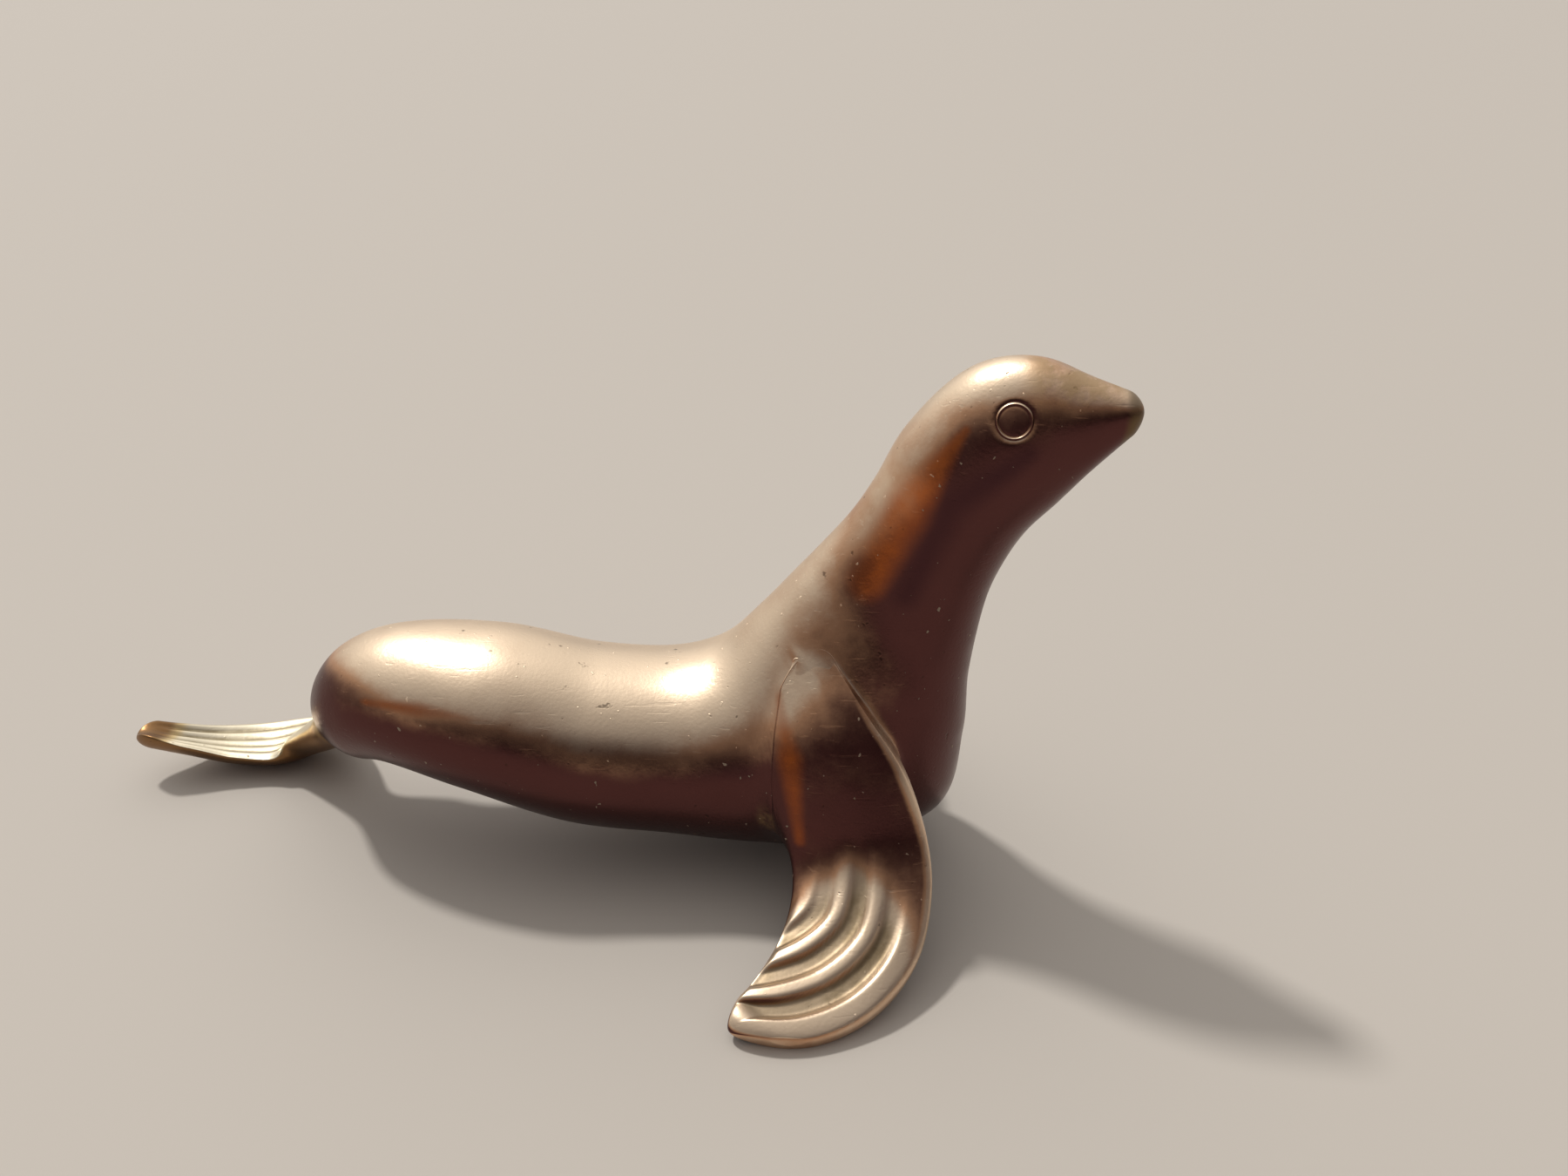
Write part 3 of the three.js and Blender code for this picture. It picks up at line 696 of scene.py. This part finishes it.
# %% The skins of the front flippers
# the ridges start alike to both sides of the middle, so both flippers share this grid
# the outer blade, where the ridges rise, gets more of the painted sheen than the rest
blade_rubbed_and_painted_sheen = 0.3 + ridge_start(flipper_rows, flipper_across)
for side, node in ((1, "front_flipper_left"), (-1, "front_flipper_right")):
    points, raised = flippers[side]
    across = for_side(flipper_across, side)
    rear_share = 1 - for_side(front_share, side)
    at_seam = ease(raised / for_side(flipper_softness, side)[..., 0], 0.02, 0.2) * rear_share
    at_seam = np.maximum(at_seam * (1 - ease(flipper_rows, 0.08, 0.24)), 1 - ease(flipper_rows, 0.0, 0.13))
    rubbed_and_painted_sheen = blade_rubbed_and_painted_sheen + (1 - blade_rubbed_and_painted_sheen) * at_seam
    # painted highlight along the rounded front edge of the flipper, partly wear
    worn_edge_and_painted_highlight = 0.75 * ease(across, 0.78, 0.97) * ease(flipper_rows, 0.06, 0.2)
    marks = marks_of(points, for_side(flipper_grooves, side), 0.0, rubbed_and_painted_sheen, worn_edge_and_painted_highlight)
    flipper = closed_skin(node.replace("front_flipper", "flipper_skin"), points, marks)
    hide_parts(node)

# %% The skin of the hind flipper
tail_filler = 0.5 * ease(tail_raised, 0.15, 0.6)
# the tail gets less of the painted sheen toward its tip, which stays darker
tail_rubbed_and_painted_sheen = 1 - 0.9 * ease(filled_tail[..., 0], 6.5, 2.5)
tail_marks = marks_of(filled_tail, tail_grooves, tail_filler, tail_rubbed_and_painted_sheen)
tail_skin = closed_skin("tail_skin", filled_tail, tail_marks)
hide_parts("hind_flipper")

# %% The eye studs
for side, node in ((1, "eye_left"), (-1, "eye_right")):
    points, radius = (grid[::-1] for grid in eye_points(side))
    inside_ring = 0.4 * (1 - ease(np.abs(radius - 1.6), 0.02, 0.1))
    # the raised ring gets more of the painted sheen than the disc inside it
    ring_rubbed_and_painted_sheen = 0.45 + 0.4 * ease(radius, 1.62, 1.75)
    marks = marks_of(points, inside_ring, 0.0, ring_rubbed_and_painted_sheen)
    eye = closed_skin(node.replace("eye", "eye_stud"), points, marks)
    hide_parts(node)

# %% [markdown]
# ## Aged bronze
# Old polished bronze is brown metal with a soft shine. It goes from a dark patina by a warm brown to pale
# polish where hands rub it and where its surface faces up, so the paler tones are partly painted highlight.
# It is duller and more olive in the grooves, pitted where the casting was porous, and it carries fine
# scratches and dust, a painted copper reflection and painted dark reflection bands. An image of metal would
# slide and blur, so each trait is a noise or a mark from the geometry, mixed one over the other. The small
# class below lets that be written as plain sums and products.


# %% A socket with sums and products
class Value:
    """A number that varies over a surface: a socket of a node, with the operators that build Math nodes."""

    def __init__(self, shader, socket):
        self.shader = shader
        self.socket = socket

    def math(self, operation, *others):
        sockets = dict(enumerate((self, *others)))
        return self.shader.node("ShaderNodeMath", {"operation": operation}, sockets)

    def __add__(self, other):
        return self.math("ADD", other)

    __radd__ = __add__

    def __mul__(self, other):
        return self.math("MULTIPLY", other)

    __rmul__ = __mul__

    def __sub__(self, other):
        return self.math("SUBTRACT", other)

    def __rsub__(self, other):
        return self * -1 + other

    def ramp(self, start, end):
        """0 below start and 1 above end, with a smooth rise between."""
        settings = {"interpolation_type": "SMOOTHSTEP"}
        sockets = {"Value": self, "From Min": start, "From Max": end}
        return self.shader.node("ShaderNodeMapRange", settings, sockets)


# %% The nodes of a material or a world
class Shader:
    """The nodes of a material or a world, which are all made by one method."""

    def __init__(self, owner):
        owner.use_nodes = True
        self.tree = owner.node_tree
        self.tree.nodes.clear()

    def node(self, kind, settings=None, sockets=None, output=0):
        made = self.tree.nodes.new(kind)
        for setting, value in (settings or {}).items():
            setattr(made, setting, value)
        for socket, value in (sockets or {}).items():
            if isinstance(value, Value):
                self.tree.links.new(value.socket, made.inputs[socket])
            else:
                made.inputs[socket].default_value = value
        return Value(self, made.outputs[output]) if made.outputs else None

    def mark(self, name):
        return self.node("ShaderNodeAttribute", {"attribute_name": name}, output="Fac")

    def noise(self, scale, detail, shift, stretch=(1, 1, 1), roughness=0.5):
        """Cloudy noise on the object's own metres: scale is in patches per metre."""
        place = self.node("ShaderNodeTexCoord", output="Object")
        at = self.node("ShaderNodeMapping", sockets={"Vector": place, "Location": shift, "Scale": stretch})
        sockets = {"Vector": at, "Scale": scale, "Detail": detail, "Roughness": roughness}
        return self.node("ShaderNodeTexNoise", sockets=sockets)

    def mix(self, share, under, over):
        """One colour over another by a share that may vary."""
        return self.node("ShaderNodeMix", {"data_type": "RGBA"}, {0: share, 6: under, 7: over}, output=2)

    def bump(self, height, distance, strength, normal=None):
        """A normal tilted by the slope of a height, over another normal if one is given."""
        sockets = {"Height": height, "Distance": distance, "Strength": strength}
        if normal is not None:
            sockets["Normal"] = normal
        return self.node("ShaderNodeBump", sockets=sockets)


# %% Finish of the castings
def linear(red, green, blue):
    """A colour as a screen shows it, from 0 to 255, turned into amounts of light."""
    return tuple(((channel / 255 + 0.055) / 1.055) ** 2.4 for channel in (red, green, blue)) + (1.0,)


GROOVE_DIRT = linear(116, 100, 68)
PIT = linear(62, 42, 32)
FILLER = linear(152, 126, 74)
DUST = linear(214, 200, 176)
# painted copper reflection, also a copper tint on the snout
PAINTED_COPPER_REFLECTION_AND_TINT = linear(184, 98, 42)
# painted dark reflection
PAINTED_DARK_REFLECTION = linear(58, 34, 40)
# tones of the painted sheen for bronze and brass: dark patina, warm brown and pale polish; the paler two
# are partly painted highlight on surfaces that face up
BRONZE_TONES = linear(88, 54, 52), linear(206, 160, 126), linear(238, 216, 190)
BRASS_TONES = linear(140, 106, 72), linear(220, 196, 150), linear(246, 236, 212)


def aged_metal(name, tones, seed, shine):
    """Metal that goes from a dark patina by a warm brown to a pale tone as its mark of rubbing and painted
    sheen rises, so surfaces that face up are painted paler, in soft clouds, with painted dark reflection
    bands, olive grooves and filler, a painted orange reflection, casting pits, fine scratches and dust."""
    material = bpy.data.materials.new(name)
    shader = Shader(material)
    patina, worn_brown_and_painted_sheen, polish_and_painted_highlight = tones
    shift = (seed, seed * 0.37, seed * 0.71)
    clouds = shader.noise(45, 4, shift).ramp(0.32, 0.7)
    blooms = shader.noise(170, 5, shift, roughness=0.65).ramp(0.35, 0.7)
    pits = shader.noise(750, 2, shift).ramp(0.71, 0.79)
    dust = shader.noise(1300, 1, (seed + 3, 0, 1)).ramp(0.75, 0.785)
    scratches = shader.noise(1400, 2, shift, stretch=(0.1, 1.0, 1.5), roughness=0.4).ramp(0.66, 0.72)
    groove = shader.mark("groove").ramp(0.3, 0.95)
    # painted dark reflection bands, in soft clouds
    painted_dark_reflection = shader.mark("painted_dark_reflection") * (0.7 + clouds * 0.3)
    residue = shader.mark("residue") * shader.noise(420, 5, shift).ramp(0.36, 0.6)
    # mark of wear and painted sheen: surfaces that face up get the paler tones, partly painted highlight
    rubbed_and_painted_sheen = shader.mark("worn_and_painted_sheen") + clouds * 0.22 + blooms * 0.12 + scratches * 0.06 - 0.17
    wear_and_painted_sheen_level = rubbed_and_painted_sheen.ramp(0.0, 1.0)
    colour = shader.mix(wear_and_painted_sheen_level.ramp(0.0, 0.6), patina, worn_brown_and_painted_sheen)
    colour = shader.mix(wear_and_painted_sheen_level.ramp(0.5, 1.0), colour, polish_and_painted_highlight)
    colour = shader.mix(painted_dark_reflection * 0.85, colour, PAINTED_DARK_REFLECTION)
    # painted copper reflection
    colour = shader.mix(shader.mark("painted_copper_reflection_and_tint") * (0.5 + blooms * 0.4), colour, PAINTED_COPPER_REFLECTION_AND_TINT)
    colour = shader.mix(groove * (0.55 + blooms * 0.3), colour, GROOVE_DIRT)
    colour = shader.mix(pits * 0.6, colour, PIT)
    colour = shader.mix(residue * 0.75, colour, FILLER)
    colour = shader.mix(dust * 0.4, colour, DUST)
    roughness = shine + blooms * 0.06 - clouds * 0.04 + groove * 0.12 + residue * 0.3 + dust * 0.35
    metallic = 1 - (residue * 0.7 + dust * 0.6).math("MINIMUM", 1.0)
    waves = shader.bump(shader.noise(60, 2, shift), 0.0010, 0.3)
    grain = shader.noise(2400, 2, shift) * 0.3 - pits * 0.4 - scratches * 0.12
    normal = shader.bump(grain + dust * 0.5 + residue * 0.6, 0.0001, 0.6, waves)
    sockets = {"Base Color": colour, "Roughness": roughness, "Metallic": metallic, "Normal": normal}
    surface = shader.node("ShaderNodeBsdfPrincipled", sockets=sockets)
    shader.node("ShaderNodeOutputMaterial", sockets={"Surface": surface})
    return material


# %% Each piece gets its finish
bronze = aged_metal("aged_bronze", BRONZE_TONES, 1.3, 0.31)
worn_and_painted_sheen = aged_metal("worn_bronze", BRONZE_TONES, 4.1, 0.4)
brass = aged_metal("yellow_brass", BRASS_TONES, 7.7, 0.36)
SKINS = {"seal_skin": bronze, "flipper_skin_left": worn_and_painted_sheen, "flipper_skin_right": worn_and_painted_sheen, "tail_skin": brass,
         "eye_stud_left": worn_and_painted_sheen, "eye_stud_right": worn_and_painted_sheen}
for name, metal in SKINS.items():
    bpy.data.objects[name].data.materials.append(metal)
for name in ("neck_dowel", "flipper_pin_left", "flipper_pin_right", "tail_pin", "belly_plug"):
    frame["nodes"][name].data.materials.clear()
    frame["nodes"][name].data.materials.append(brass)
print("finishes:", sorted({metal.name for metal in SKINS.values()}))

# %% [markdown]
# ## The studio
# The seal stands on a plain pale floor. One lamp stands high behind its left side, as the light stood for
# the photograph. The studio's sky glows softly round that lamp and is dark on the near side, because
# polished metal shows what is round it: the glow gives the broad shine along the back, and the dark gives
# the brown flanks.

# %% Floor and lamp
FLOOR_REACH = 4.0  # metres
FLOOR_COLOUR = linear(198, 192, 185)
floor_mesh = bpy.data.meshes.new("floor")
corners = np.array([(-1, -1, 0), (1, -1, 0), (1, 1, 0), (-1, 1, 0)]) * FLOOR_REACH
floor_mesh.from_pydata(corners.tolist(), [], [(0, 1, 2, 3)])
floor = bpy.data.objects.new("floor", floor_mesh)
bpy.context.collection.objects.link(floor)
floor_paint = bpy.data.materials.new("pale_floor")
paint = Shader(floor_paint)
matt = paint.node("ShaderNodeBsdfPrincipled", sockets={"Base Color": FLOOR_COLOUR, "Roughness": 0.8})
paint.node("ShaderNodeOutputMaterial", sockets={"Surface": matt})
floor_mesh.materials.append(floor_paint)

LAMP_DIRECTION = Vector((-0.455, 0.448, 1.0)).normalized()
lamp_data = bpy.data.lights.new("key_lamp", "SUN")
lamp_data.energy = 1.7
lamp_data.angle = 0.09
lamp_data.color = (1.0, 0.965, 0.91)
lamp = bpy.data.objects.new("key_lamp", lamp_data)
lamp.rotation_euler = LAMP_DIRECTION.to_track_quat("Z", "Y").to_euler()
bpy.context.collection.objects.link(lamp)

# %% Sky
GLOW_DIRECTION = (-0.3, 0.58, 0.757)
# place on the way from the dark side to the glow, and the light there
SKY_STOPS = (
    (0.25, (0.05, 0.04, 0.045, 1)),
    (0.42, (0.13, 0.11, 0.11, 1)),
    (0.6, (0.28, 0.26, 0.25, 1)),
    (0.8, (0.52, 0.49, 0.46, 1)),
    (1.0, (1.1, 1.06, 1.0, 1)),
)
world = bpy.data.worlds.new("studio_sky")
sky = Shader(world)
direction = sky.node("ShaderNodeTexCoord", output="Generated")
sockets = {0: direction, 1: GLOW_DIRECTION}
toward_glow = sky.node("ShaderNodeVectorMath", {"operation": "DOT_PRODUCT"}, sockets, "Value")
level = sky.node("ShaderNodeMapRange", sockets={"Value": toward_glow, "From Min": -1.0, "From Max": 1.0})
glow = sky.node("ShaderNodeValToRGB", sockets={"Fac": level})
stops = glow.socket.node.color_ramp.elements
stops.remove(stops[1])
stops[0].position, stops[0].color = SKY_STOPS[0]
for position, colour in SKY_STOPS[1:]:
    stops.new(position).color = colour
light = sky.node("ShaderNodeBackground", sockets={"Color": glow, "Strength": 1.0})
sky.node("ShaderNodeOutputWorld", sockets={"Surface": light})
bpy.context.scene.world = world
print("sky:", len(stops), "stops, lamp from", tuple(round(part, 2) for part in LAMP_DIRECTION))

# %% [markdown]
# ## The camera
# The photograph was taken from close by, from the seal's right side and from about 30 degrees above. The
# camera stands at the place that was worked out from the outline and the shadow. It is tilted a little
# about its own axis, as a hand-held camera is.

# %% Camera
CAMERA_PLACE = Vector((77.58 - MIDDLE_X, -126.31, 110.57)) * MM  # from the tip of the tail, less the middle
IMAGE_RIGHT = Vector((0.99874, -0.02963, 0.04049))
IMAGE_UP = Vector((-0.0199, 0.50681, 0.86185))
camera_data = bpy.data.cameras.new("camera")
camera_data.sensor_width = 36
camera_data.lens = 28.8
camera_data.clip_start = MM
camera = bpy.data.objects.new("camera", camera_data)
backward = IMAGE_RIGHT.cross(IMAGE_UP)
turn = Matrix((IMAGE_RIGHT, IMAGE_UP, backward)).transposed().to_4x4()
camera.matrix_world = Matrix.Translation(CAMERA_PLACE) @ turn
bpy.context.collection.objects.link(camera)
bpy.context.scene.camera = camera
bpy.context.scene.view_settings.view_transform = "Standard"
